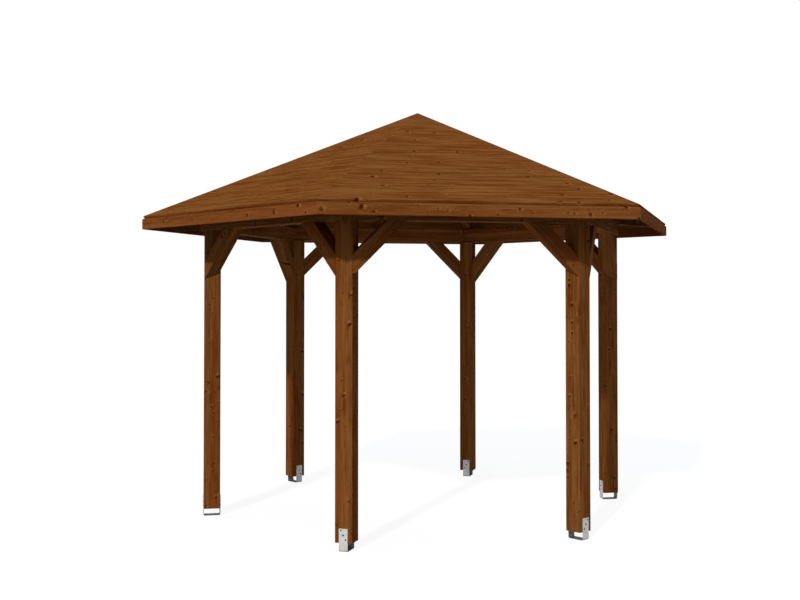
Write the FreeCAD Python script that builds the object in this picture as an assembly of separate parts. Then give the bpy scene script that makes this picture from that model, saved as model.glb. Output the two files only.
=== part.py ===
import FreeCAD, Part
import math
import os
from FreeCAD import Vector

# Hexagonal timber pavilion, millimetres, +Z up, origin on the ground below the apex.
# Six posts on steel feet carry a mitred ring beam; hip and mid rafters rise from it to a
# king block and carry six boarded roof panels with a fascia round the eaves.

# Plan
ring_radius = 1610.0            # centre of the pavilion to the centre of a post
roof_across_flats = 3700.0      # outer face of one fascia board to the opposite one

# Posts and feet
post_width = 120.0
post_length = 2105.0
edge_ease = 3.0                 # small bevel on the long edges of every timber
foot_clearance = 51.0           # air between the strap's base and the post's end
strap_width = 60.0
strap_thickness = 5.0
strap_lap = 94.0                # how far the strap's plates reach up the post
strap_bend = 14.0               # outer radius of the strap's two bends
screws_per_plate = 3
screw_hole = 9.0
screw_hole_pitch = 30.0         # height between the holes in a plate
screw_hole_shift = 17.0         # sideways step between them
screw_hole_lowest = 22.0        # above the end of the post
anchor_hole = 12.0
anchor_hole_spacing = 60.0

# Ring beam and braces
beam_height = 120.0
beam_width = 100.0
brace_width = 100.0
brace_thickness = 100.0
brace_leg = 370.0               # from the beam's underside down to the brace's lower edge
brace_pitch = 45.0              # degrees

# Roof
roof_pitch = 24.9               # degrees, square to the eaves
board_thickness = 19.0
eaves_setback = 14.0            # the boards stop short of the fascia's outer face
fascia_thickness = 18.0
fascia_height = 76.0
rafter_width = 70.0
rafter_depth = 150.0            # square to the rafter's slope
rafter_notch = 27.5             # depth of a hip rafter's seat at the beam's outer corner
tail_height = 24.0              # upright height of the tapered tails behind the fascia
king_shoulder = 5.0             # bare strip of the king block beside each hip rafter
king_drop = 60.0                # how far it hangs below the rafters
king_bevel = 18.0

# Posts and sides in the order of their angles; a side lies half a turn after its post
POSTS = ["right", "back_right", "back_left", "left", "front_left", "front_right"]
SIDES = ["right_back", "back", "left_back", "left_front", "front", "right_front"]
HALF_TURNED_FEET = ["back_left", "front_right"]     # their rows of holes slant the other way
TURN = 360 / len(POSTS)
HALF = math.radians(TURN / 2)

# Heights and radii that follow
side_offset = ring_radius * math.cos(HALF)
arris_offset = post_width / 2 * (math.cos(HALF) + math.sin(HALF))
arris_step = post_width / 2 * (math.cos(HALF) - math.sin(HALF))
post_foot_z = strap_thickness + foot_clearance
beam_z = post_foot_z + post_length
beam_top_z = beam_z + beam_height
beam_outer = side_offset + arris_offset
beam_inner = beam_outer - beam_width
beam_corner = beam_outer / math.cos(HALF)
slope = math.tan(math.radians(roof_pitch))
hip_slope = slope * math.cos(HALF)
hip_plumb_depth = rafter_depth * math.sqrt(1 + hip_slope ** 2)
underside_apex_z = beam_top_z - rafter_notch + hip_plumb_depth + beam_corner * hip_slope
fascia_outer = roof_across_flats / 2
fascia_inner = fascia_outer - fascia_thickness
fascia_z = underside_apex_z - fascia_outer * slope - fascia_height
board_rise = board_thickness / math.cos(math.radians(roof_pitch))
eaves_radius = fascia_outer - eaves_setback
king_width = (rafter_width + 2 * king_shoulder) / math.tan(HALF)
long_edge = 2 * beam_height


def turned(shape, angle):
    """The shape turned about the pavilion's upright axis."""
    copy = shape.copy()
    copy.rotate(Vector(0, 0, 0), Vector(0, 0, 1), angle)
    return copy


def prism(points, direction):
    """A closed outline of points pushed along a vector."""
    outline = Part.makePolygon(points + [points[0]])
    return Part.Face(outline).extrude(direction)


def block(x0, x1, y0, y1, z0, z1):
    return Part.makeBox(x1 - x0, y1 - y0, z1 - z0, Vector(x0, y0, z0))


def mitred_bar(inner, outer, z0, z1):
    """A bar across one side of the hexagon, mitred at both posts; the side faces +X."""
    reach = math.tan(HALF)
    corners = [Vector(inner, -inner * reach, z0), Vector(outer, -outer * reach, z0),
               Vector(outer, outer * reach, z0), Vector(inner, inner * reach, z0)]
    return prism(corners, Vector(0, 0, z1 - z0))


def eased(timber):
    """The timber with a small bevel along its long edges."""
    return timber.makeChamfer(edge_ease, [edge for edge in timber.Edges if edge.Length > long_edge])


def below_roof(inner, outer, half_width, z0):
    """The space below the boards' underside over one side that faces +X."""
    outline = [Vector(inner, -half_width, z0), Vector(outer, -half_width, z0),
               Vector(outer, -half_width, underside_apex_z - outer * slope),
               Vector(inner, -half_width, underside_apex_z - inner * slope)]
    return prism(outline, Vector(0, 2 * half_width, 0))


def make_post():
    half = post_width / 2
    post = block(ring_radius - half, ring_radius + half, -half, half, post_foot_z, beam_z)
    return eased(post)


def strap_outline(grow):
    """One U of the foot's strap, grown outwards from its inner faces."""
    half = post_width / 2 + grow
    floor = strap_thickness - grow
    top = post_foot_z + strap_lap
    bend = strap_bend - strap_thickness + grow
    left, right = ring_radius - half, ring_radius + half
    cut = bend * (1 - math.sqrt(0.5))
    y = -strap_width / 2
    left_bend = Part.Arc(Vector(left, y, floor + bend), Vector(left + cut, y, floor + cut),
                         Vector(left + bend, y, floor))
    right_bend = Part.Arc(Vector(right - bend, y, floor), Vector(right - cut, y, floor + cut),
                          Vector(right, y, floor + bend))
    edges = [Part.LineSegment(Vector(left, y, top), Vector(left, y, floor + bend)).toShape(),
             left_bend.toShape(),
             Part.LineSegment(Vector(left + bend, y, floor), Vector(right - bend, y, floor)).toShape(),
             right_bend.toShape(),
             Part.LineSegment(Vector(right, y, floor + bend), Vector(right, y, top)).toShape(),
             Part.LineSegment(Vector(right, y, top), Vector(left, y, top)).toShape()]
    return Part.Face(Part.Wire(edges)).extrude(Vector(0, strap_width, 0))


def make_foot():
    """A flat strap bent to a U round the post's inner and outer faces."""
    strap = strap_outline(strap_thickness).cut(strap_outline(0))
    reach = post_width + 4 * strap_thickness
    for step in range(screws_per_plate):
        shift = ((screws_per_plate - 1) / 2 - step) * screw_hole_shift
        height = post_foot_z + screw_hole_lowest + step * screw_hole_pitch
        centre = Vector(ring_radius - reach / 2, shift, height)
        strap = strap.cut(Part.makeCylinder(screw_hole / 2, reach, centre, Vector(1, 0, 0)))
    for way in (-1, 1):
        centre = Vector(ring_radius + way * anchor_hole_spacing / 2, 0, -strap_thickness)
        strap = strap.cut(Part.makeCylinder(anchor_hole / 2, 3 * strap_thickness, centre))
    return strap


def half_turned(foot):
    """The foot turned half round about its post's own axis."""
    copy = foot.copy()
    copy.rotate(Vector(ring_radius, 0, 0), Vector(0, 0, 1), 180)
    return copy


def make_ring_beam():
    return eased(mitred_bar(beam_inner, beam_outer, beam_z, beam_top_z))


def make_brace(way):
    """A brace from a post's side face up to the beam; way picks the end of the bay."""
    inner = beam_outer - brace_thickness
    pitch = math.radians(brace_pitch)
    start = -ring_radius / 2
    head = start + (brace_leg + arris_step) / math.tan(pitch)
    foot_z = beam_z - brace_leg - arris_step
    outline = [Vector(inner, start, foot_z), Vector(inner, head, beam_z),
               Vector(inner, head - brace_width / math.sin(pitch), beam_z),
               Vector(inner, start, foot_z + brace_width / math.cos(pitch))]
    brace = eased(prism(outline, Vector(brace_thickness, 0, 0)))
    half = post_width / 2
    post = block(ring_radius - 2 * post_width, ring_radius + post_width, -post_width, half, 0, beam_z)
    brace = brace.cut(turned(post, -TURN / 2))
    if way > 0:
        brace = brace.mirror(Vector(0, 0, 0), Vector(0, 1, 0))
    return brace


def rafter_blank(pitch_tangent, start, heel, end):
    """A rafter along +X before it is fitted, its tail tapered from the heel to the fascia."""
    half = rafter_width / 2
    plumb = rafter_depth * math.sqrt(1 + pitch_tangent ** 2)
    top = underside_apex_z
    outline = [Vector(start, -half, top - start * pitch_tangent),
               Vector(start, -half, top - plumb - start * pitch_tangent),
               Vector(heel, -half, top - plumb - heel * pitch_tangent),
               Vector(end, -half, top - tail_height - end * pitch_tangent),
               Vector(end, -half, top - end * pitch_tangent)]
    return eased(prism(outline, Vector(0, rafter_width, 0)))


def seated(rafter, beams):
    """The rafter notched over the ring beams: a level seat and a plumb heel."""
    for beam in beams:
        rafter = rafter.cut(beam)
    return rafter


def make_hip_rafter():
    """Backed to both roof slopes, plumb at the king block, mitred into the fascia corner."""
    corner = fascia_inner / math.cos(HALF)
    rafter = rafter_blank(hip_slope, king_width / 2, beam_corner, corner)
    side = below_roof(0, fascia_inner, fascia_outer, 0)
    side = side.common(mitred_bar(0, fascia_inner, 0, underside_apex_z))
    both_sides = turned(side, -TURN / 2).fuse(turned(side, TURN / 2))
    rafter = rafter.common(both_sides).removeSplitter()
    beam = mitred_bar(beam_inner, beam_outer, beam_z, beam_top_z)
    return seated(rafter, [turned(beam, -TURN / 2), turned(beam, TURN / 2)])


def make_mid_rafter():
    """Seated on the beam's middle, its head cut to a wedge between two hip rafters."""
    rafter = rafter_blank(slope, king_width / 2, beam_outer, fascia_inner)
    half = rafter_width / 2
    for way in (-1, 1):
        hip = block(0, ring_radius / 2, -half, half, beam_top_z, underside_apex_z)
        rafter = rafter.cut(turned(hip, way * TURN / 2))
    rafter = rafter.cut(make_king_post(0))
    beam = mitred_bar(beam_inner, beam_outer, beam_z, beam_top_z)
    return seated(rafter, [beam])


def king_hexagon(inradius, z):
    radius = inradius / math.cos(HALF)
    angles = [HALF + number * 2 * HALF for number in range(len(SIDES))]
    return [Vector(radius * math.cos(angle), radius * math.sin(angle), z) for angle in angles]


def make_king_post(bevel):
    """The hexagonal block that the hip rafters meet, its top cut to the six slopes."""
    half = king_width / 2
    foot_z = underside_apex_z - half * hip_slope - hip_plumb_depth - king_drop
    king = prism(king_hexagon(half, foot_z), Vector(0, 0, underside_apex_z - foot_z))
    if bevel:
        lowest = [edge for edge in king.Edges if edge.BoundBox.ZMax < foot_z + bevel]
        king = king.makeChamfer(bevel, lowest)
    roof = below_roof(0, king_width, king_width, 0)
    roof = roof.common(mitred_bar(0.0, king_width, 0, underside_apex_z))
    cap = turned(roof, TURN / 2)
    for number in range(1, len(SIDES)):
        cap = cap.fuse(turned(roof, TURN / 2 + number * TURN))
    return king.common(cap).removeSplitter()


def make_roof_panel():
    """One triangle of boards over a side that faces +X, mitred along both hips."""
    run = eaves_radius
    square_end = board_thickness * math.sin(math.radians(roof_pitch))
    outline = [Vector(0, -run, underside_apex_z), Vector(run, -run, underside_apex_z - run * slope),
               Vector(run + square_end, -run, underside_apex_z - run * slope + board_thickness
                      * math.cos(math.radians(roof_pitch))),
               Vector(0, -run, underside_apex_z + board_rise)]
    slab = prism(outline, Vector(0, 2 * run, 0))
    return slab.common(mitred_bar(0.0, fascia_outer, fascia_z, underside_apex_z + board_rise))


def make_fascia():
    board = eased(mitred_bar(fascia_inner, fascia_outer, fascia_z, fascia_z + 2 * fascia_height))
    return board.common(below_roof(0, fascia_outer, fascia_outer, 0))


def save(name, shape):
    if shape.ShapeType == "Compound" and len(shape.Solids) == 1:
        shape = shape.Solids[0]
    shape.exportStep(os.path.join("parts", name + ".step"))
    print(name, len(shape.Solids), "solids", round(shape.Volume / 1e6, 3), "litres", shape.isValid())


def main():
    os.makedirs("parts", exist_ok=True)
    for number, place in enumerate(POSTS):
        angle = number * TURN
        save("post_" + place, turned(make_post(), angle))
        foot = make_foot()
        if place in HALF_TURNED_FEET:
            foot = half_turned(foot)
        save("foot_" + place, turned(foot, angle))
        save("hip_rafter_" + place, turned(make_hip_rafter(), angle))
    for number, side in enumerate(SIDES):
        angle = (number + 0.5) * TURN
        save("ring_beam_" + side, turned(make_ring_beam(), angle))
        braces = Part.makeCompound([make_brace(-1), make_brace(1)])
        save("braces_" + side, turned(braces, angle))
        save("roof_panel_" + side, turned(make_roof_panel(), angle))
        save("fascia_" + side, turned(make_fascia(), angle))
    rafters = [turned(make_mid_rafter(), (number + 0.5) * TURN) for number in range(len(SIDES))]
    save("mid_rafters", Part.makeCompound(rafters))
    save("king_block", make_king_post(king_bevel))


main()
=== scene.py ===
import math

import bmesh
import bpy
from bpy.props import FloatProperty, FloatVectorProperty, IntProperty, PointerProperty
from mathutils import Matrix, Vector


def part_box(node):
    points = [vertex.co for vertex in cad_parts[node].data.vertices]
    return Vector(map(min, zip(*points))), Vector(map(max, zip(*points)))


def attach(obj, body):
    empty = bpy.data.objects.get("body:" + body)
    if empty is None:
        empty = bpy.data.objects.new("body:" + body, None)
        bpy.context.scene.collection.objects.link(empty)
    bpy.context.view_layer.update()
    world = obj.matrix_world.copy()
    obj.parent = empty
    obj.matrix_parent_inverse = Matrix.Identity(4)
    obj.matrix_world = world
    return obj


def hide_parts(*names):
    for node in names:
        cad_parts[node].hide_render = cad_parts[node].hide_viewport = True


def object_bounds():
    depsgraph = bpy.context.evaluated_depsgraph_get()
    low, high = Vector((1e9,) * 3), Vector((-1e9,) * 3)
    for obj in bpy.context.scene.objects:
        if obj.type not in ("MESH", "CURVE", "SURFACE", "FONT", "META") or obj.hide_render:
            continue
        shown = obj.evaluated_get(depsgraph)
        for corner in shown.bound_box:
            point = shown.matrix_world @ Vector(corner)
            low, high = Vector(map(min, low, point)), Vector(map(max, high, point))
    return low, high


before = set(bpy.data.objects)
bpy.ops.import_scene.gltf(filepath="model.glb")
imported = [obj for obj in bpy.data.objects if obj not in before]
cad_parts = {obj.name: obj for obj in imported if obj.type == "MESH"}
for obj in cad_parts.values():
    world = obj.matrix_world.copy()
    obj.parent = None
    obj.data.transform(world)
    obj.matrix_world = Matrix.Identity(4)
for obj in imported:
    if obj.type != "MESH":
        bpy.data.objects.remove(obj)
cad_low, cad_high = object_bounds()

bl_info = {
    "name": "Hexagonal Timber Pavilion",
    "version": (1, 0, 0),
    "blender": (4, 5, 0),
    "location": "3D View > Sidebar > Pavilion",
    "description": "Dresses a six-sided timber pavilion: stained timber, roof boards, steel feet, screws",
    "category": "Object",
}

# Posts and sides in the order of their angles; each side lies halfway from its post to the next
POSTS = ("right", "back_right", "back_left", "left", "front_left", "front_right")
SIDES = ("right_back", "back", "left_back", "left_front", "front", "right_front")

# The feet that stand turned round, so that their screws slant the other way
HALF_TURNED_FEET = ("back_left", "front_right")

# The angle from one post to the next, and half of it
TURN = math.tau / len(POSTS)
HALF = TURN / 2

BRACE_SLOPE = math.radians(45.0)

# About how far the middle of a rafter runs below the roof's top
RAFTER_MIDDLE = 0.10

# A screw head: its sides, its top's radius and its recess's margin as shares of the diameter,
# and its recess's depth as a share of its height
HEAD_SIDES = 12
HEAD_TOP = 0.36
RECESS_MARGIN = 0.16
RECESS_DEPTH = 0.7

WHITE = (1.0, 1.0, 1.0, 1.0)


def post_angle(number):
    return number * TURN


def side_angle(number):
    return (number + 0.5) * TURN


def ring_radius():
    """From the pavilion's upright axis to the middle of a post."""
    low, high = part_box("post_right")
    return (low.x + high.x) / 2


class Wire:
    """A shader socket that Python's operators work on; each operator adds a Math node."""

    def __init__(self, tree, socket=None):
        self.tree = tree
        self.socket = socket

    def node(self, kind, settings, values, output=0):
        """A new node: settings come first, then the values or wires of its sockets."""
        made = self.tree.nodes.new("ShaderNode" + kind)
        for name, value in settings.items():
            setattr(made, name, value)
        for name, value in values.items():
            if isinstance(value, Wire):
                self.tree.links.new(value.socket, made.inputs[name])
            else:
                made.inputs[name].default_value = value
        if isinstance(output, tuple):
            return [Wire(self.tree, made.outputs[name]) for name in output]
        return Wire(self.tree, made.outputs[output])

    def maths(self, operation, *values):
        return self.node("Math", {"operation": operation}, dict(enumerate(values)))

    def __add__(self, other):
        return self.maths("ADD", self, other)

    __radd__ = __add__

    def __sub__(self, other):
        return self.maths("SUBTRACT", self, other)

    def __rsub__(self, other):
        return self.maths("SUBTRACT", other, self)

    def __mul__(self, other):
        return self.maths("MULTIPLY", self, other)

    def __truediv__(self, other):
        return self.maths("DIVIDE", self, other)

    def __pow__(self, other):
        return self.maths("POWER", self, other)

    def __mod__(self, other):
        return self.maths("FLOORED_MODULO", self, other)

    def __floordiv__(self, other):
        return self.maths("FLOOR", self / other)

    def __gt__(self, other):
        return self.maths("GREATER_THAN", self, other)

    def __neg__(self):
        return 0.0 - self

    def __abs__(self):
        return self.maths("ABSOLUTE", self)


def mixed(paint, share, first, second):
    """A colour between two; share 0 gives the first."""
    return paint.node("Mix", {"data_type": "RGBA"}, {0: share, 6: first, 7: second}, 2)


def eased(paint, value, start, end):
    """0 before start, 1 after end and smooth between them."""
    settings = {"interpolation_type": "SMOOTHSTEP"}
    return paint.node("MapRange", settings, {0: value, 1: start, 2: end, 3: 0.0, 4: 1.0})


class Timber(bpy.types.PropertyGroup):
    """The stain and growth of the spruce."""

    stain: FloatVectorProperty(
        name="Stain", description="Colour of the early wood under the stain",
        subtype="COLOR", size=3, min=0, max=1, default=(0.215, 0.0855, 0.0220))
    grain: FloatVectorProperty(
        name="Grain", description="Colour of the late wood and the dark streaks",
        subtype="COLOR", size=3, min=0, max=1, default=(0.118, 0.031, 0.0045))
    blush: FloatVectorProperty(
        name="Blush", description="Redder colour that some lamellas and boards lean to",
        subtype="COLOR", size=3, min=0, max=1, default=(0.210, 0.063, 0.0155))
    pale: FloatVectorProperty(
        name="Pale wood", description="Colour of the curled wood beside a knot",
        subtype="COLOR", size=3, min=0, max=1, default=(0.300, 0.130, 0.045))
    knot: FloatVectorProperty(
        name="Knot", description="Colour of a knot's heart",
        subtype="COLOR", size=3, min=0, max=1, default=(0.052, 0.0070, 0.0005))
    ring_spacing: FloatProperty(
        name="Ring spacing", description="Width of one year's growth",
        unit="LENGTH", min=0.001, default=0.0036)
    knot_spacing: FloatProperty(
        name="Knot spacing", description="Length of timber that holds one knot",
        unit="LENGTH", min=0.05, default=0.23)
    knot_radius: FloatProperty(
        name="Knot radius", description="Radius of the largest knots",
        unit="LENGTH", min=0.002, default=0.018)
    lamella: FloatProperty(
        name="Lamella", description="Thickness of one layer in the glued posts and beams",
        unit="LENGTH", min=0.01, default=0.040)


class RoofBoards(bpy.types.PropertyGroup):
    """The tongued and grooved boards of the roof."""

    pitch: FloatProperty(
        name="Pitch", description="Slope of the roof, square to the eaves",
        unit="ROTATION", default=math.radians(24.9))
    cover: FloatProperty(
        name="Cover", description="Width of roof that one board covers",
        unit="LENGTH", min=0.03, default=0.1222)
    eaves_board: FloatProperty(
        name="Eaves board", description="Width of the lowest board, ripped to fit",
        unit="LENGTH", min=0.02, default=0.1034)
    thickness: FloatProperty(
        name="Thickness", description="Thickness of a board",
        unit="LENGTH", min=0.005, default=0.019)
    joint: FloatProperty(
        name="Joint", description="Open gap between two boards",
        unit="LENGTH", min=0.0, default=0.0012)
    arris: FloatProperty(
        name="Arris", description="Bevel along a board's edges, above and below",
        unit="LENGTH", min=0.0, default=0.0028)
    tongue: FloatProperty(
        name="Tongue", description="How far a tongue reaches into its groove",
        unit="LENGTH", min=0.0, default=0.007)


class Fixings(bpy.types.PropertyGroup):
    """Screws of the feet, braces and boards."""

    foot_head: FloatProperty(
        name="Foot screw head", description="Diameter of a screw head in a foot's plate",
        unit="LENGTH", min=0.004, default=0.0125)
    foot_rise: FloatProperty(
        name="Foot screw rise", description="Height between two screws of a foot's plate",
        unit="LENGTH", min=0.01, default=0.030)
    foot_shift: FloatProperty(
        name="Foot screw shift", description="Sideways step between two screws of a foot's plate",
        unit="LENGTH", min=0.0, default=0.017)
    foot_lowest: FloatProperty(
        name="Lowest foot screw", description="Its height above the end of the post",
        unit="LENGTH", min=0.01, default=0.022)
    brace_head: FloatProperty(
        name="Brace screw head", description="Diameter of a screw head in a brace",
        unit="LENGTH", min=0.004, default=0.012)
    board_head: FloatProperty(
        name="Board screw head", description="Diameter of a screw head in a roof board",
        unit="LENGTH", min=0.003, default=0.0072)
    screws_per_plate: IntProperty(
        name="Screws per plate", description="Screws in each plate of a foot", min=1, default=3)


class Studio(bpy.types.PropertyGroup):
    """Camera, lamps, sky and floor."""

    eye: FloatVectorProperty(
        name="Eye", description="Place of the camera",
        subtype="TRANSLATION", size=3, default=(-2.0407, -8.7143, 1.6628))
    heading: FloatProperty(
        name="Heading", description="Turn of the camera from +Y towards +X",
        unit="ROTATION", default=math.radians(12.283))
    tilt: FloatProperty(
        name="Tilt", description="Upward tilt of the camera", unit="ROTATION", default=0.0220)
    lens: FloatProperty(
        name="Lens", description="Focal length in millimetres on a 36 mm sensor", default=50.667)
    shift: FloatProperty(
        name="Shift", description="Upward shift of the frame, in frame widths", default=-0.0359)
    sun_azimuth: FloatProperty(
        name="Sun azimuth", description="Where the sun stands, from +X towards +Y",
        unit="ROTATION", default=math.radians(237.25))
    sun_height: FloatProperty(
        name="Sun height", description="Height of the sun above the horizon",
        unit="ROTATION", default=math.radians(31.3))
    sun_strength: FloatProperty(name="Sun strength", description="Strength of the sun", default=2.2)
    sky_strength: FloatProperty(
        name="Sky strength", description="Strength of the sky's light on the object", default=0.62)
    shaded_side: FloatProperty(
        name="Shaded side", description="Share of the sky's light that is missing on the right",
        min=0.0, max=1.0, default=0.25)
    fill_strength: FloatProperty(
        name="Fill strength", description="Power of the soft lamp inside, in watts", default=8.5)
    floor_tone: FloatProperty(
        name="Floor tone", description="Grey of the floor as the object sees it", default=0.33)


def settings():
    return bpy.context.scene.pavilion


class Pavilion(bpy.types.PropertyGroup):
    """All that a user would change."""

    timber: PointerProperty(type=Timber)
    boards: PointerProperty(type=RoofBoards)
    fixings: PointerProperty(type=Fixings)
    studio: PointerProperty(type=Studio)


def new_material(name):
    """An empty material, its first wire and its surface node."""
    material = bpy.data.materials.new(name)
    material.use_nodes = True
    tree = material.node_tree
    tree.nodes.clear()
    surface = tree.nodes.new("ShaderNodeBsdfPrincipled")
    output = tree.nodes.new("ShaderNodeOutputMaterial")
    tree.links.new(surface.outputs[0], output.inputs["Surface"])
    return material, Wire(tree), surface


def finish(paint, surface, colour, roughness, relief=None):
    """Wires a colour, a roughness and a relief, if there is one, into a surface."""
    links = paint.tree.links
    links.new(colour.socket, surface.inputs["Base Color"])
    links.new(roughness.socket, surface.inputs["Roughness"])
    if relief:
        links.new(relief.socket, surface.inputs["Normal"])


def unfolded(paint, first_angle):
    """Outward, sideways and upward places of six like pieces laid over the first, and their numbers."""
    place = paint.node("TexCoord", {}, {}, "Object")
    x, y = paint.node("SeparateXYZ", {}, {0: place}, ("X", "Y"))
    number = paint.maths("ROUND", (paint.maths("ARCTAN2", y, x) - first_angle) / TURN)
    angle = -(number * TURN + first_angle)
    turned = paint.node("VectorRotate", {"rotation_type": "Z_AXIS"}, {"Vector": place, "Angle": angle})
    outward, sideways, upward = paint.node("SeparateXYZ", {}, {0: turned}, ("X", "Y", "Z"))
    return outward, sideways, upward, number % float(len(POSTS))


def inclined(first, second, angle):
    """A pair of places, turned by an angle in their own plane."""
    cos, sin = math.cos(angle), math.sin(angle)
    return first * cos - second * sin, first * sin + second * cos


def grown_wood(paint, surface, along, across, depth, seed, timber,
               crowd=1.0, girth=1.0, tint=0.35, dark=0.33, red=0.0, figure=1.0,
               streak=(2.4, 75.0), broad=1.0, smear=0.3, sheen=0.008):
    """Stained spruce, solid through the timber: year rings, streaks, and knots that cross it.

    crowd and girth scale the number and size of the knots. tint spreads the darkness of the pieces,
    dark moves it for all of them, and red moves their redness. figure, broad and smear scale the
    streaks and flecks, the broad streaks and the dark smears. streak holds the scales of the fine
    streaks along and across the grain, and sheen is the level of the clear reflection.
    """
    chance = paint.node("TexWhiteNoise", {"noise_dimensions": "1D"}, {"W": seed}, 1)
    first, second, third = paint.node("SeparateColor", {}, {0: chance}, (0, 1, 2))
    # The seed takes each piece to a place of its own in the pattern
    place = paint.node("CombineXYZ", {}, {0: along + seed * 3.7, 1: across + seed, 2: depth})

    def clouds(along_scale, cross_scale, detail=2.0):
        """Noise round 0, with a scale along the grain and one across it."""
        stretch = (along_scale, cross_scale, cross_scale)
        vector = paint.node("VectorMath", {"operation": "MULTIPLY"}, {0: place, 1: stretch})
        return paint.node("TexNoise", {}, {"Vector": vector, "Scale": 1.0, "Detail": detail}) - 0.5

    # The pith runs along the timber, to one side of its middle
    pith_spread, pith_nearest = 0.05, 0.045
    pith_across = (first - 0.5) * pith_spread
    pith_depth = second * pith_spread + pith_nearest
    from_pith = paint.maths("SQRT", (across - pith_across) ** 2.0 + (depth + pith_depth) ** 2.0)
    wobble = clouds(30.0, 70.0) * 0.6

    knot_spacing = timber.knot_spacing / crowd
    greatest = timber.knot_radius * girth
    # The thinnest branch as a share of the greatest, the share of branches that are missing, what is
    # left of a missing one, a branch's rise along the timber, and the pale wood's offset in radii
    thinnest, missing, trace, rise, offset = 0.25, 0.2, 0.0004, 0.4, 1.5

    def branch(salt, spread):
        """Distances from the nearest branch of one set and from the pale wood beside it, in radii."""
        climb = (along - from_pith * rise) / knot_spacing + seed * 5.3 + salt
        values = {"W": climb, "Scale": 1.0, "Randomness": 0.9}
        colour, middle = paint.node("TexVoronoi", {"voronoi_dimensions": "1D"}, values, ("Color", "W"))
        lean, size, keep = paint.node("SeparateColor", {}, {0: colour}, (0, 1, 2))
        angle = (lean - 0.5) * spread
        aside = (across - pith_across) * paint.maths("COSINE", angle) \
            - (depth + pith_depth) * paint.maths("SINE", angle)
        radius = (size * size * (1.0 - thinnest) + thinnest) * (keep > missing) * greatest + trace
        run = (climb - middle) * knot_spacing
        beside = run - radius * offset
        return (paint.maths("SQRT", run * run + aside * aside) / radius + wobble,
                paint.maths("SQRT", beside * beside + aside * aside) / radius + wobble)

    first_heart, first_pale = branch(0.0, 1.5)
    second_heart, second_pale = branch(40.7, 2.7)
    nearest = paint.maths("MINIMUM", first_heart, second_heart)
    pale = 1.0 - eased(paint, paint.maths("MINIMUM", first_pale, second_pale), 0.5, 1.5)
    heart = 1.0 - eased(paint, nearest, 0.75, 1.25)
    halo = 1.0 - eased(paint, nearest, 1.0, 3.8)
    # Some knots are fainter than others
    strength = eased(paint, clouds(4.0, 11.0), -0.12, 0.10) * 0.5 + 0.46

    # Year rings round the pith, pushed aside by the branches
    wander = clouds(1.4, 7.0) * 0.030 + clouds(5.0, 30.0) * 0.004
    years = (from_pith + wander + halo * 0.008) / timber.ring_spacing
    late = (years % 1.0) ** 2.5

    # Streaks and flecks along the grain, and curled grain round the knots
    streaks = clouds(*streak, 4.0) * 1.3 + (clouds(0.5, 16.0) * 0.6 + clouds(5.0, 14.0) * 0.3) * broad
    flecks = clouds(14.0, 260.0)
    swirl = halo * clouds(12.0, 60.0)

    # Share of the dark grain, and share of the redder stain
    shade = late * 0.30 + (streaks * 1.8 + flecks) * figure + swirl * 4.0 + (third - 0.5) * tint
    shade = shade + eased(paint, clouds(5.0, 32.0, 3.0), 0.04, 0.24) * smear
    share = eased(paint, shade + dark, -0.15, 1.0)
    warm = eased(paint, clouds(0.45, 9.0) * 1.6 + first + red, 0.25, 0.95)

    light = mixed(paint, warm, (*timber.stain, 1.0), (*timber.blush, 1.0))
    body = mixed(paint, share, light, (*timber.grain, 1.0))
    body = mixed(paint, pale * strength * 0.5, body, (*timber.pale, 1.0))
    tone = mixed(paint, heart * strength, body, (*timber.knot, 1.0))
    roughness = 0.80 + share * 0.10 - heart * 0.15
    height = share * 0.35 + flecks * 0.25 - heart * 0.3
    relief = paint.node("Bump", {}, {"Strength": 0.35, "Distance": 0.0008, "Height": height})
    finish(paint, surface, tone, roughness, relief)
    surface.inputs["Specular IOR Level"].default_value = sheen


def dress(names, material):
    """Puts a material on carried-over pieces."""
    for name in names:
        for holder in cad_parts[name].material_slots:
            holder.material = material


def finished(name, shape, materials, replaced=()):
    """Turns a finished bmesh into a piece that rides on the pavilion."""
    mesh = bpy.data.meshes.new(name)
    shape.to_mesh(mesh)
    shape.free()
    for material in materials:
        mesh.materials.append(material)
    piece = bpy.data.objects.new(name, mesh)
    bpy.context.scene.collection.objects.link(piece)
    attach(piece, "root")
    if replaced:
        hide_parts(*replaced)


class PAVILION_OT_posts(bpy.types.Operator):
    """Give the six posts the stained, three-layer glued timber"""
    bl_idname = "pavilion.posts"
    bl_label = "Finish Posts"

    def execute(self, context):
        timber = settings().timber
        material, paint, surface = new_material("post_timber")
        outward, sideways, upward, number = unfolded(paint, 0.0)
        layer = (sideways + 1.5 * timber.lamella) // timber.lamella
        across = sideways - (layer - 1.0) * timber.lamella
        seed = number * 4.31 + layer * 1.37 + 0.4
        grown_wood(paint, surface, upward, outward - ring_radius(), across, seed, timber,
                   crowd=2.4, girth=0.62, tint=0.25, figure=0.8, smear=0.55)
        dress(["post_" + place for place in POSTS], material)
        return {"FINISHED"}


class PAVILION_OT_ring_beams(bpy.types.Operator):
    """Give the six ring beams the stained timber, its grain along each beam"""
    bl_idname = "pavilion.ring_beams"
    bl_label = "Finish Ring Beams"

    def execute(self, context):
        timber = settings().timber
        material, paint, surface = new_material("beam_timber")
        outward, sideways, upward, number = unfolded(paint, HALF)
        low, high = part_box("ring_beam_back")
        middle = (low.y + high.y) / 2
        layer = (upward - low.z) // timber.lamella
        across = upward - low.z - (layer + 0.5) * timber.lamella
        seed = number * 3.17 + layer * 2.23 + 31.0
        grown_wood(paint, surface, sideways, outward - middle, across, seed, timber, sheen=0.015)
        dress(["ring_beam_" + side for side in SIDES], material)
        return {"FINISHED"}


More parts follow.
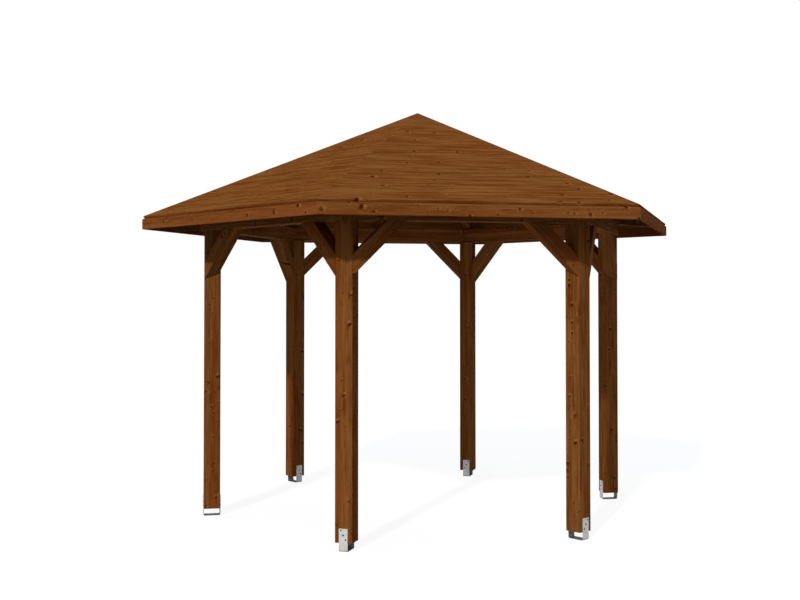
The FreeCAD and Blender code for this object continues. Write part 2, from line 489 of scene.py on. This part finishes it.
class PAVILION_OT_braces(bpy.types.Operator):
    """Give the twelve braces the stained timber, its grain at 45 degrees"""
    bl_idname = "pavilion.braces"
    bl_label = "Finish Braces"

    def execute(self, context):
        material, paint, surface = new_material("brace_timber")
        outward, sideways, upward, number = unfolded(paint, HALF)
        low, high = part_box("braces_back")
        middle = (low.y + high.y) / 2
        end = sideways > 0.0
        along, across = inclined(upward, abs(sideways), BRACE_SLOPE)
        line = (low.z + high.x) * math.sin(BRACE_SLOPE)
        seed = number * 2.9 + end * 1.63 + 57.0
        grown_wood(paint, surface, along, across - line, outward - middle, seed, settings().timber,
                   figure=0.8, sheen=0.015)
        dress(["braces_" + side for side in SIDES], material)
        return {"FINISHED"}


class PAVILION_OT_rafters(bpy.types.Operator):
    """Give the hip rafters, mid rafters and king block the stained timber"""
    bl_idname = "pavilion.rafters"
    bl_label = "Finish Rafters"

    def execute(self, context):
        timber = settings().timber
        pitch = settings().boards.pitch
        hip_pitch = math.atan(math.tan(pitch) * math.cos(HALF))
        hips = ["hip_rafter_" + place for place in POSTS]
        for name, nodes, first_angle, slope, salt in (
                ("hip_timber", hips, 0.0, hip_pitch, 71.0),
                ("mid_rafter_timber", ["mid_rafters"], HALF, pitch, 93.0)):
            material, paint, surface = new_material(name)
            outward, sideways, upward, number = unfolded(paint, first_angle)
            along, across = inclined(outward, upward - cad_high.z, slope)
            seed = number * 3.77 + salt
            grown_wood(paint, surface, along, across + RAFTER_MIDDLE, sideways, seed, timber,
                       sheen=0.015)
            dress(nodes, material)
        material, paint, surface = new_material("king_timber")
        place = paint.node("TexCoord", {}, {}, "Object")
        x, y, z = paint.node("SeparateXYZ", {}, {0: place}, (0, 1, 2))
        grown_wood(paint, surface, z, x, y, 5.5, timber)
        dress(["king_block"], material)
        return {"FINISHED"}


class PAVILION_OT_fascia(bpy.types.Operator):
    """Give the six fascia boards the stained spruce"""
    bl_idname = "pavilion.fascia"
    bl_label = "Finish Fascia"

    def execute(self, context):
        material, paint, surface = new_material("fascia_boards")
        outward, sideways, upward, number = unfolded(paint, HALF)
        low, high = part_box("fascia_back")
        middle = (low.z + high.z) / 2
        seed = number * 2.71 + 127.0
        grown_wood(paint, surface, sideways, upward - middle, outward - high.y, seed, settings().timber,
                   crowd=2.0, girth=0.8, dark=0.19, figure=0.7)
        dress(["fascia_" + side for side in SIDES], material)
        return {"FINISHED"}


def board_outline(boards, width, lowest):
    """One board's section: (down the slope, off the rafters), tongue uphill, groove downhill.

    The tongue is a third as thick as the board, and the groove has some slack on both sides of it.
    """
    thick, arris, tongue = boards.thickness, boards.arris, boards.tongue
    middle, half = thick / 2, thick / 6
    slack = 0.0003
    upper = [(0.0, middle + half), (-tongue, middle + half), (-tongue, middle - half),
             (0.0, middle - half), (0.0, arris), (arris, 0.0)]
    groove = [(width, middle - half - slack), (width - tongue, middle - half - slack),
              (width - tongue, middle + half + slack), (width, middle + half + slack)]
    lower = [(width - arris, 0.0), (width, arris), *([] if lowest else groove),
             (width, thick - arris), (width - arris, thick)]
    return upper + lower + [(arris, thick), (0.0, thick - arris)]


def cut_flat(shape, point, normal):
    """Cuts a closed bmesh and closes it again; what the normal points to goes."""
    parts = shape.verts[:] + shape.edges[:] + shape.faces[:]
    cut = bmesh.ops.bisect_plane(shape, geom=parts, plane_co=point, plane_no=normal, clear_outer=True)
    rim = [item for item in cut["geom_cut"] if isinstance(item, bmesh.types.BMEdge)]
    if rim:
        bmesh.ops.contextual_create(shape, geom=rim)


def roof_place(boards, apex, down, off, sideways):
    """A point of the roof side that faces +X, from its place down the slope and off the rafters."""
    cos, sin = math.cos(boards.pitch), math.sin(boards.pitch)
    return Vector((down * cos + off * sin, sideways, apex - down * sin + off * cos))


def board_rows(boards, reach):
    """Where each board starts and ends down the slope, from the eaves up."""
    narrowest = 0.004
    rows = [(reach - boards.eaves_board, reach)]
    while rows[-1][0] > narrowest:
        rows.append((max(rows[-1][0] - boards.cover, 0.0), rows[-1][0]))
    return rows


def roof_reach(boards):
    """The underside's height at the apex, and the boards' length down the slope."""
    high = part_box("roof_panel_back")[1]
    apex = high.z - boards.thickness / math.cos(boards.pitch)
    eaves = high.y - boards.thickness * math.sin(boards.pitch)
    return apex, eaves / math.cos(boards.pitch)


def add_board(shape, boards, apex, start, end, lowest):
    """Adds one board of the roof side that faces +X, trimmed by the mitres at both hips."""
    board = bmesh.new()
    half = (end + boards.cover) * math.cos(boards.pitch) * math.tan(HALF)
    # The topmost board starts beyond the peak, where the mitres trim it
    top_edge = start + boards.joint if start else -boards.thickness
    outline = board_outline(boards, end - top_edge, lowest)
    corners = [board.verts.new(roof_place(boards, apex, top_edge + down, off, -half))
               for down, off in outline]
    face = board.faces.new(corners)
    grown = bmesh.ops.extrude_face_region(board, geom=[face])
    moved = [item for item in grown["geom"] if isinstance(item, bmesh.types.BMVert)]
    bmesh.ops.translate(board, vec=(0.0, 2 * half, 0.0), verts=moved)
    for way in (-1, 1):
        normal = Vector((-math.sin(HALF), way * math.cos(HALF), 0.0))
        cut_flat(board, Vector((0.0, 0.0, 0.0)), normal)
    bmesh.ops.recalc_face_normals(board, faces=board.faces)
    mesh = bpy.data.meshes.new("board")
    board.to_mesh(mesh)
    board.free()
    shape.from_mesh(mesh)
    bpy.data.meshes.remove(mesh)


class PAVILION_OT_roof_boards(bpy.types.Operator):
    """Board the six roof sides with tongued and grooved boards, mitred at the hips"""
    bl_idname = "pavilion.roof_boards"
    bl_label = "Build Roof Boards"

    def execute(self, context):
        boards = settings().boards
        apex, reach = roof_reach(boards)
        material, paint, surface = new_material("roof_boards")
        outward, sideways, upward, number = unfolded(paint, HALF)
        down, off = inclined(outward, upward - apex, boards.pitch)
        first = reach - boards.eaves_board + boards.joint
        row = (down - first + boards.tongue / 2) // boards.cover
        across = down - first - (row + 0.5) * boards.cover
        seed = number * 19.3 + row * 1.913 + 211.0
        grown_wood(paint, surface, sideways, across, off, seed, settings().timber,
                   crowd=0.5, tint=0.12, red=-0.45, figure=1.15, streak=(2.2, 42.0), broad=0.35,
                   sheen=0.0)
        for count, side in enumerate(SIDES):
            shape = bmesh.new()
            for start, end in board_rows(boards, reach):
                add_board(shape, boards, apex, start, end, end == reach)
            turn = Matrix.Rotation(side_angle(count), 3, "Z")
            bmesh.ops.rotate(shape, cent=(0, 0, 0), matrix=turn, verts=shape.verts)
            finished("roof_boards_" + side, shape, [material], ["roof_panel_" + side])
        return {"FINISHED"}


class PAVILION_OT_feet(bpy.types.Operator):
    """Give the six steel feet a hot-dip galvanised finish, with painted shade on their inner faces and
    base
    """
    bl_idname = "pavilion.feet"
    bl_label = "Finish Feet"

    def execute(self, context):
        material, paint, surface = new_material("galvanised_strap")
        place = paint.node("TexCoord", {}, {}, "Object")
        values = {"Vector": place, "Scale": 75.0, "Randomness": 1.0}
        spangle = paint.node("TexVoronoi", {}, values, 1)
        tone = paint.node("SeparateColor", {}, {0: spangle}, 0)
        cloud = paint.node("TexNoise", {}, {"Vector": place, "Scale": 160.0, "Detail": 4.0})
        stain = paint.node("TexNoise", {}, {"Vector": place, "Scale": 22.0, "Detail": 3.0})
        share = tone * 0.45 + cloud * 0.35 + stain * 0.20
        zinc = mixed(paint, share, (0.43, 0.42, 0.40, 1.0), (0.67, 0.65, 0.62, 1.0))
        outward, _, upward, _ = unfolded(paint, 0.0)
        low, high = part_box("post_right")
        half = (high.x - low.x) / 2
        # Painted shade: the strap is duller and darker on the inside, where the post shades it, and
        # darkest on the base below the post, in the post's shadow
        outside = eased(paint, abs(outward - ring_radius()), half, half + 0.003)
        above_base = eased(paint, upward, 0.006, 0.012)
        painted_shade_inside = mixed(paint, above_base, (0.085, 0.085, 0.080, 1.0), (0.20, 0.19, 0.175, 1.0))
        # The inner faces and the base take the painted shade, the outer faces the zinc
        colour = mixed(paint, outside, painted_shade_inside, zinc)
        roughness = 0.44 + tone * 0.12 + cloud * 0.14
        relief = paint.node("Bump", {}, {"Strength": 0.25, "Distance": 0.0004, "Height": share})
        finish(paint, surface, colour, roughness, relief)
        surface.inputs["Metallic"].default_value = 0.15
        dress(["foot_" + place for place in POSTS], material)
        return {"FINISHED"}


def add_screw(shape, point, outward, diameter, height):
    """A low, tapered screw head with a round recess, standing on a surface."""
    turn = outward.to_track_quat("Z", "Y").to_matrix().to_4x4()
    place = Matrix.Translation(point) @ turn @ Matrix.Translation((0, 0, height / 2))
    made = bmesh.ops.create_cone(shape, segments=HEAD_SIDES, radius1=diameter / 2,
                                 radius2=diameter * HEAD_TOP, depth=height, cap_ends=True, matrix=place)
    top = max({face for vertex in made["verts"] for face in vertex.link_faces},
              key=lambda face: (face.calc_center_median() - point).dot(outward) + face.calc_area())
    bmesh.ops.inset_individual(shape, faces=[top], thickness=diameter * RECESS_MARGIN)
    bmesh.ops.translate(shape, vec=-outward * height * RECESS_DEPTH, verts=top.verts)


def screw_material():
    """Brown phosphated steel, made once."""
    known = bpy.data.materials.get("screw_steel")
    if known:
        return known
    material, paint, surface = new_material("screw_steel")
    place = paint.node("TexCoord", {}, {}, "Object")
    cloud = paint.node("TexNoise", {}, {"Vector": place, "Scale": 300.0, "Detail": 2.0})
    colour = mixed(paint, cloud, (0.016, 0.013, 0.011, 1.0), (0.032, 0.025, 0.020, 1.0))
    finish(paint, surface, colour, 0.50 + cloud * 0.2)
    surface.inputs["Metallic"].default_value = 0.2
    return material


class PAVILION_OT_foot_screws(bpy.types.Operator):
    """Drive the screws through the feet's plates into the posts"""
    bl_idname = "pavilion.foot_screws"
    bl_label = "Drive Foot Screws"

    def execute(self, context):
        fixings = settings().fixings
        count = fixings.screws_per_plate
        low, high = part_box("foot_right")
        post_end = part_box("post_right")[0].z
        sunk, head_height = 0.0004, 0.0028
        shape = bmesh.new()
        for number, place in enumerate(POSTS):
            turn = Matrix.Rotation(post_angle(number), 3, "Z")
            slant = -fixings.foot_shift if place in HALF_TURNED_FEET else fixings.foot_shift
            for step in range(count):
                shift = ((count - 1) / 2 - step) * slant
                height = post_end + fixings.foot_lowest + step * fixings.foot_rise
                for way, edge in ((-1, low.x), (1, high.x)):
                    point = turn @ Vector((edge - way * sunk, shift, height))
                    add_screw(shape, point, turn @ Vector((way, 0, 0)), fixings.foot_head, head_height)
        finished("foot_screws", shape, [screw_material()])
        return {"FINISHED"}


class PAVILION_OT_brace_screws(bpy.types.Operator):
    """Drive two screws through each end of every brace, in its lower face"""
    bl_idname = "pavilion.brace_screws"
    bl_label = "Drive Brace Screws"

    def execute(self, context):
        head = settings().fixings.brace_head
        from_end, from_side, sunk, head_height = 0.055, 0.024, 0.0003, 0.0016
        low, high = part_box("braces_back")
        foot = Vector((0.0, high.x, low.z))
        slant = Vector((0.0, -1.0, 1.0)).normalized()
        outward = Vector((0.0, -1.0, -1.0)).normalized()
        length = (high.z - low.z) * math.sqrt(2)
        shape = bmesh.new()
        for number in range(len(SIDES)):
            turn = Matrix.Rotation(side_angle(number), 3, "Z")
            for way in (-1, 1):
                normal = Vector((0.0, way * outward.y, outward.z))
                for run in (from_end, length - from_end):
                    for depth in (low.y + from_side, high.y - from_side):
                        place = foot + slant * run
                        point = Vector((depth, way * place.y, place.z)) - normal * sunk
                        add_screw(shape, turn @ point, turn @ normal, head, head_height)
        finished("brace_screws", shape, [screw_material()])
        return {"FINISHED"}


class PAVILION_OT_board_screws(bpy.types.Operator):
    """Drive two screws at each rafter through all roof boards but the smallest"""
    bl_idname = "pavilion.board_screws"
    bl_label = "Drive Board Screws"

    def execute(self, context):
        boards = settings().boards
        head = settings().fixings.board_head
        apex, reach = roof_reach(boards)
        normal = Vector((math.sin(boards.pitch), 0.0, math.cos(boards.pitch)))
        from_edge, from_hip = 0.026, 0.024 / math.cos(HALF)
        # Half the length that a board needs for a screw in its middle, and for one more at each hip
        room_for_one, room_for_three = 0.05, 0.12
        sunk, head_height = 0.0006, 0.0009
        shape = bmesh.new()
        for number in range(len(SIDES)):
            turn = Matrix.Rotation(side_angle(number), 3, "Z")
            for start, end in board_rows(boards, reach):
                if end - start < 3 * from_edge:
                    continue
                for down in (start + from_edge, end - from_edge):
                    half = down * math.cos(boards.pitch) * math.tan(HALF)
                    sideways = [0.0] if half > room_for_one else []
                    if half > room_for_three:
                        sideways += [from_hip - half, half - from_hip]
                    for aside in sideways:
                        point = roof_place(boards, apex, down, boards.thickness - sunk, aside)
                        add_screw(shape, turn @ point, turn @ normal, head, head_height)
        finished("board_screws", shape, [screw_material()])
        return {"FINISHED"}


def aim_camera(scene, studio):
    camera = bpy.data.objects.new("camera", bpy.data.cameras.new("camera"))
    camera.location = studio.eye
    camera.rotation_euler = (math.pi / 2 + studio.tilt, 0.0, -studio.heading)
    camera.data.sensor_width = 36.0
    camera.data.lens = studio.lens
    camera.data.shift_y = studio.shift
    scene.collection.objects.link(camera)
    scene.camera = camera


def add_sun(scene, studio):
    """A slightly warm sun, wide enough for soft edges of shadow."""
    sun = bpy.data.objects.new("sun", bpy.data.lights.new("sun", "SUN"))
    sun.data.energy = studio.sun_strength
    sun.data.color = (1.0, 0.975, 0.93)
    sun.data.angle = math.radians(2.5)
    flat = math.cos(studio.sun_height)
    towards = Vector((math.cos(studio.sun_azimuth) * flat, math.sin(studio.sun_azimuth) * flat,
                      math.sin(studio.sun_height)))
    sun.rotation_euler = towards.to_track_quat("Z", "Y").to_euler()
    scene.collection.objects.link(sun)


def add_fill(scene, studio):
    """A soft lamp between the posts."""
    fill = bpy.data.objects.new("fill", bpy.data.lights.new("fill", "AREA"))
    fill.data.energy = studio.fill_strength
    fill.data.size = 1.4
    fill.location = (-0.5, -0.5, 1.4)
    fill.rotation_euler = (math.pi / 2, 0.0, math.radians(-60.0))
    scene.collection.objects.link(fill)


def seen_directly(paint):
    """1 for rays from the camera, a mirror or glass, and 0 for the others."""
    rays = ("Is Camera Ray", "Is Glossy Ray", "Is Transmission Ray")
    camera, glossy, through = paint.node("LightPath", {}, {}, rays)
    return paint.maths("MAXIMUM", paint.maths("MAXIMUM", camera, glossy), through)


def add_sky(scene, studio):
    """A sky that looks white, and lights the object with a bluish light that is duller on the right."""
    world = bpy.data.worlds.new("sky")
    world.use_nodes = True
    scene.world = world
    world.node_tree.nodes.clear()
    paint = Wire(world.node_tree)
    seen = seen_directly(paint)
    way = paint.node("TexCoord", {}, {}, "Generated")
    side = paint.node("SeparateXYZ", {}, {0: way}, "X")
    light = (1.0 - eased(paint, side, 0.0, 1.0) * studio.shaded_side) * studio.sky_strength
    strength = seen * (1.0 - light) + light
    bluish = (1.0, 1.06, 1.18, 1.0)
    tint = mixed(paint, seen, bluish, WHITE)
    sky = paint.node("Background", {}, {"Color": tint, "Strength": strength})
    output = paint.tree.nodes.new("ShaderNodeOutputWorld")
    paint.tree.links.new(sky.socket, output.inputs["Surface"])


def add_floor(scene, studio):
    """A wide floor that looks nearly white, and is a duller grey in the light it sends back."""
    shape = bmesh.new()
    bmesh.ops.create_circle(shape, cap_ends=True, segments=96, radius=60.0)
    mesh = bpy.data.meshes.new("floor")
    shape.to_mesh(mesh)
    shape.free()
    floor = bpy.data.objects.new("floor", mesh)
    scene.collection.objects.link(floor)
    material = bpy.data.materials.new("floor")
    material.use_nodes = True
    mesh.materials.append(material)
    tree = material.node_tree
    tree.nodes.clear()
    paint = Wire(tree)
    tone, seen_tone, glow_strength = studio.floor_tone, 0.16, 0.88
    dull = paint.node("BsdfDiffuse", {}, {"Color": (tone, tone, tone, 1.0)})
    pale = paint.node("BsdfDiffuse", {}, {"Color": (seen_tone, seen_tone, seen_tone, 1.0)})
    glow = paint.node("Emission", {}, {"Color": WHITE, "Strength": glow_strength})
    bright = paint.node("AddShader", {}, {0: pale, 1: glow})
    surface = paint.node("MixShader", {}, {0: seen_directly(paint), 1: dull, 2: bright})
    output = tree.nodes.new("ShaderNodeOutputMaterial")
    tree.links.new(surface.socket, output.inputs["Surface"])


class PAVILION_OT_stage(bpy.types.Operator):
    """Set up the camera, the sun, the soft lamp, the sky and the pale floor"""
    bl_idname = "pavilion.stage"
    bl_label = "Set the Stage"

    def execute(self, context):
        studio = settings().studio
        scene = context.scene
        scene.view_settings.view_transform = "Standard"
        aim_camera(scene, studio)
        add_sun(scene, studio)
        add_fill(scene, studio)
        add_sky(scene, studio)
        add_floor(scene, studio)
        return {"FINISHED"}


class PAVILION_PT_panel(bpy.types.Panel):
    """Sizes, colours and building steps of the pavilion"""
    bl_idname = "PAVILION_PT_panel"
    bl_label = "Timber Pavilion"
    bl_space_type = "VIEW_3D"
    bl_region_type = "UI"
    bl_category = "Pavilion"

    def draw(self, context):
        pavilion = context.scene.pavilion
        for title, group in (("Timber", pavilion.timber), ("Roof Boards", pavilion.boards),
                             ("Fixings", pavilion.fixings), ("Studio", pavilion.studio)):
            box = self.layout.box()
            box.label(text=title)
            for name in group.__annotations__:
                box.prop(group, name)
        for step in STEPS:
            self.layout.operator(step.bl_idname)


STEPS = (PAVILION_OT_posts, PAVILION_OT_ring_beams, PAVILION_OT_braces, PAVILION_OT_rafters,
         PAVILION_OT_fascia, PAVILION_OT_roof_boards, PAVILION_OT_feet, PAVILION_OT_foot_screws,
         PAVILION_OT_brace_screws, PAVILION_OT_board_screws, PAVILION_OT_stage)
CLASSES = (Timber, RoofBoards, Fixings, Studio, Pavilion, *STEPS, PAVILION_PT_panel)


def register():
    for kind in CLASSES:
        bpy.utils.register_class(kind)
    bpy.types.Scene.pavilion = PointerProperty(type=Pavilion)


def unregister():
    del bpy.types.Scene.pavilion
    for kind in reversed(CLASSES):
        bpy.utils.unregister_class(kind)


def main():
    register()
    for step in STEPS:
        group, name = step.bl_idname.split(".")
        getattr(getattr(bpy.ops, group), name)()


if __name__ == "__main__":
    main()
